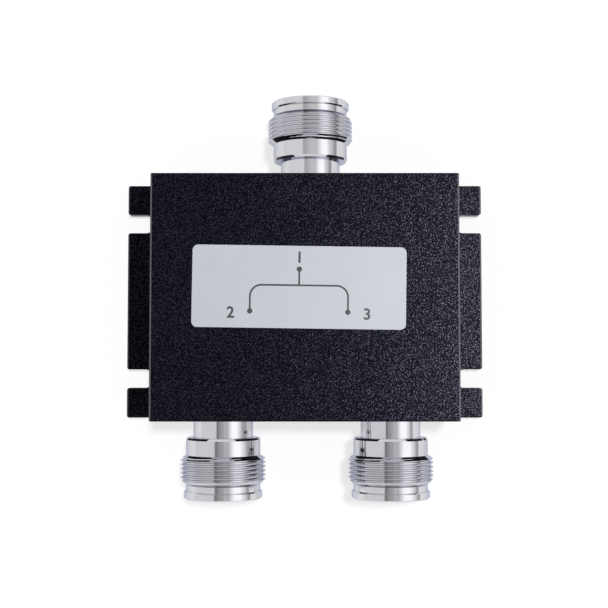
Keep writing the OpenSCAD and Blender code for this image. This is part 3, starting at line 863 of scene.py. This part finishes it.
def hang_tent():
    """A pale tent round the part: over each end an arc of greys, darker overhead, and plain walls beyond."""
    world = bpy.data.worlds.new("studio_tent")
    bpy.context.scene.world = world
    world.use_nodes = True
    tree = world.node_tree
    direction = tree.nodes.new("ShaderNodeTexCoord").outputs["Generated"]
    x, y, z = add_node(tree, "ShaderNodeSeparateXYZ", {0: direction}).outputs
    place = progress(tree, work_out(tree, "ARCTAN2", x, z), -math.pi / 2, math.pi / 2)
    ends = progress(tree, y, *ARCS_MEET, interpolation_type="SMOOTHSTEP")
    arcs = shade(tree, ends, tent_arc(tree, place, OUTPUT_ARC), tent_arc(tree, place, INPUT_ARC))
    far = progress(tree, work_out(tree, "ABSOLUTE", y), *ARCS_FADE, interpolation_type="SMOOTHSTEP")
    walls = shade(tree, far, arcs, WALL_COLOUR)
    rays = tree.nodes.new("ShaderNodeLightPath").outputs
    soft = shade(tree, rays["Is Diffuse Ray"], walls, SOFT_LIGHT)
    seen = shade(tree, rays["Is Camera Ray"], soft, WHITE)
    tree.links.new(seen, tree.nodes["Background"].inputs["Color"])


def shine_only_on(holder, name, *pieces):
    """Makes a lamp light only the named pieces."""
    lit = bpy.data.collections.new(name)
    for piece in pieces:
        lit.objects.link(piece)
    holder.light_linking.receiver_collection = lit


def light_floor(stage, floor):
    """A soft lamp, a little to +X and +Y from overhead, that lights only the floor and casts the shadow."""
    lamp = bpy.data.lights.new("floor_lamp", "SUN")
    lamp.energy = stage.floor_light
    lamp.angle = stage.floor_lamp_width
    holder = bpy.data.objects.new("floor_lamp", lamp)
    holder.location = FLOOR_LAMP_PLACE
    holder.rotation_euler = (stage.floor_lamp_pitch, stage.floor_lamp_lean, 0.0)
    bpy.context.scene.collection.objects.link(holder)
    shine_only_on(holder, "floor_lit", floor)


def light_softbox(stage):
    """A softbox on the right, a quarter of the way down from overhead, for the coat and the label."""
    lamp = bpy.data.lights.new("softbox", "AREA")
    lamp.shape = "RECTANGLE"
    lamp.size = stage.softbox_width
    lamp.size_y = stage.softbox_length
    lamp.energy = stage.softbox_power
    lean, far = stage.softbox_lean, stage.softbox_distance
    holder = bpy.data.objects.new("softbox", lamp)
    holder.location = (far * math.sin(lean), stage.softbox_shift, far * math.cos(lean))
    holder.rotation_euler = (0.0, lean, 0.0)
    bpy.context.scene.collection.objects.link(holder)
    names = ("housing_coated", "rear_cover_coated", "label_film", "label_marks")
    shine_only_on(holder, "softbox_lit", *(bpy.data.objects[name] for name in names))


def set_camera(stage):
    """The camera looks down on the face, tilted a little towards the input jack."""
    camera = bpy.data.cameras.new("camera")
    camera.lens = stage.lens
    camera.sensor_width = stage.sensor
    holder = bpy.data.objects.new("camera", camera)
    holder.location = (stage.camera_x, stage.camera_y, stage.camera_z)
    holder.rotation_euler = (stage.camera_pitch, 0.0, 0.0)
    bpy.context.scene.collection.objects.link(holder)
    bpy.context.scene.camera = holder


# Operators

class SPLITTER_OT_coat_box(Operator):
    """Coats the housing and the rear cover"""

    bl_idname = "splitter.coat_box"
    bl_label = "Coat the box"

    def execute(self, context):
        finish = coat_finish(settings().coat)
        for node in ("housing", "rear_cover"):
            piece = smooth_copy(node, node + "_coated")
            mark_edges(piece)
            give(piece, finish)
            carry(piece, "coated_aluminium", node)
        return {"FINISHED"}


class SPLITTER_OT_turn_jacks(Operator):
    """Turns the three threaded jack shells and plates them"""

    bl_idname = "splitter.turn_jacks"
    bl_label = "Turn the jacks"

    def execute(self, context):
        jack = settings().jack
        finish = plating_finish(jack)
        for name in JACKS:
            piece = turn_shell(name, jack)
            give(piece, finish)
            carry(piece, "plated_brass", name + "_shell")
        return {"FINISHED"}


class SPLITTER_OT_fill_jacks(Operator):
    """Finishes the contacts, beads and seals of the jacks"""

    bl_idname = "splitter.fill_jacks"
    bl_label = "Fill the jacks"

    def execute(self, context):
        inside = settings().inside
        plating = contact_finish(settings().jack)
        bead = plain_finish(
            "bead_plastic", inside.bead_colour, rough=0.42, fineness=900.0, depth=6 * MICRON, share=0.95
        )
        rubber = plain_finish(
            "seal_rubber", inside.seal_colour, rough=0.6, fineness=2400.0, depth=10 * MICRON
        )
        for name in JACKS:
            for part, finish, slot in (
                ("contact", plating, "contact_plating"),
                ("insulator", bead, "insulator_plastic"),
                ("seal", rubber, "seal_rubber"),
            ):
                piece = smooth_copy(f"{name}_{part}", f"{name}_{part}_finished")
                give(piece, finish)
                carry(piece, slot, f"{name}_{part}")
        return {"FINISHED"}


class SPLITTER_OT_stick_label(Operator):
    """Cuts the label's film and prints the port marks on it"""

    bl_idname = "splitter.stick_label"
    bl_label = "Stick the label"

    def execute(self, context):
        label = settings().label
        film = cut_film(label)
        give(film, film_finish(label))
        carry(film, "label_film", "label")
        marks = print_marks(label)
        ink = plain_finish(
            "label_ink", label.ink_colour, rough=0.4, fineness=2600.0, depth=3 * MICRON, share=0.7
        )
        give(marks, ink)
        carry(marks, "label_film")
        return {"FINISHED"}


class SPLITTER_OT_fit_inside(Operator):
    """Finishes the screws, the gasket and the circuit"""

    bl_idname = "splitter.fit_inside"
    bl_label = "Fit the inside"

    def execute(self, context):
        inside = settings().inside
        steel = plain_finish(
            "screw_steel", inside.steel_colour, rough=0.24, fineness=4200.0, depth=3 * MICRON, metallic=1.0
        )
        for node in ("cover_screws", "board_screws"):
            piece = smooth_copy(node, node + "_finished")
            give(piece, steel)
            carry(piece, "screw_steel", node)
        coat_node("cover_gasket", plain_finish(
            "gasket_silicone", inside.gasket_colour, rough=0.6, fineness=2000.0, depth=10 * MICRON
        ))
        coat_node("circuit_board", plain_finish(
            "board_laminate", inside.laminate_colour, rough=0.5, fineness=1500.0, depth=8 * MICRON
        ))
        coat_node("microstrip", plain_finish(
            "etched_copper", inside.copper_colour, rough=0.3, fineness=2600.0, depth=3 * MICRON, metallic=1.0
        ))
        coat_node("isolation_resistors", plain_finish(
            "chip_body", inside.chip_colour, rough=0.4, fineness=3000.0, depth=3 * MICRON
        ))
        return {"FINISHED"}


class SPLITTER_OT_set_stage(Operator):
    """Lays the floor, hangs the tent and sets the lamps and the camera"""

    bl_idname = "splitter.set_stage"
    bl_label = "Set the stage"

    def execute(self, context):
        stage = settings().stage
        context.scene.view_settings.view_transform = "Standard"
        light_floor(stage, lay_floor(stage))
        hang_tent()
        light_softbox(stage)
        set_camera(stage)
        return {"FINISHED"}


class SPLITTER_PT_dressing(Panel):
    """Lists the steps of the dressing and their settings"""

    bl_idname = "SPLITTER_PT_dressing"
    bl_label = "Power splitter"
    bl_space_type = "VIEW_3D"
    bl_region_type = "UI"
    bl_category = "Splitter"

    def draw(self, context):
        for step in STEPS:
            self.layout.operator(step.bl_idname)
        parts = settings()
        for group in (parts.coat, parts.jack, parts.label, parts.inside, parts.stage):
            box = self.layout.box()
            for key in group.__annotations__:
                box.prop(group, key)


STEPS = (
    SPLITTER_OT_coat_box,
    SPLITTER_OT_turn_jacks,
    SPLITTER_OT_fill_jacks,
    SPLITTER_OT_stick_label,
    SPLITTER_OT_fit_inside,
    SPLITTER_OT_set_stage,
)
CLASSES = (
    CoatSettings, JackSettings, LabelSettings, InsideSettings, StageSettings, SplitterSettings,
    *STEPS, SPLITTER_PT_dressing,
)


def register():
    """Registers the classes and the scene's settings."""
    for kind in CLASSES:
        bpy.utils.register_class(kind)
    bpy.types.Scene.splitter = PointerProperty(type=SplitterSettings)


def unregister():
    """Takes the settings and the classes away again."""
    del bpy.types.Scene.splitter
    for kind in reversed(CLASSES):
        bpy.utils.unregister_class(kind)


def main():
    """Runs the steps in order."""
    register()
    bpy.ops.splitter.coat_box()
    bpy.ops.splitter.turn_jacks()
    bpy.ops.splitter.fill_jacks()
    bpy.ops.splitter.stick_label()
    bpy.ops.splitter.fit_inside()
    bpy.ops.splitter.set_stage()


if __name__ == "__main__":
    main()
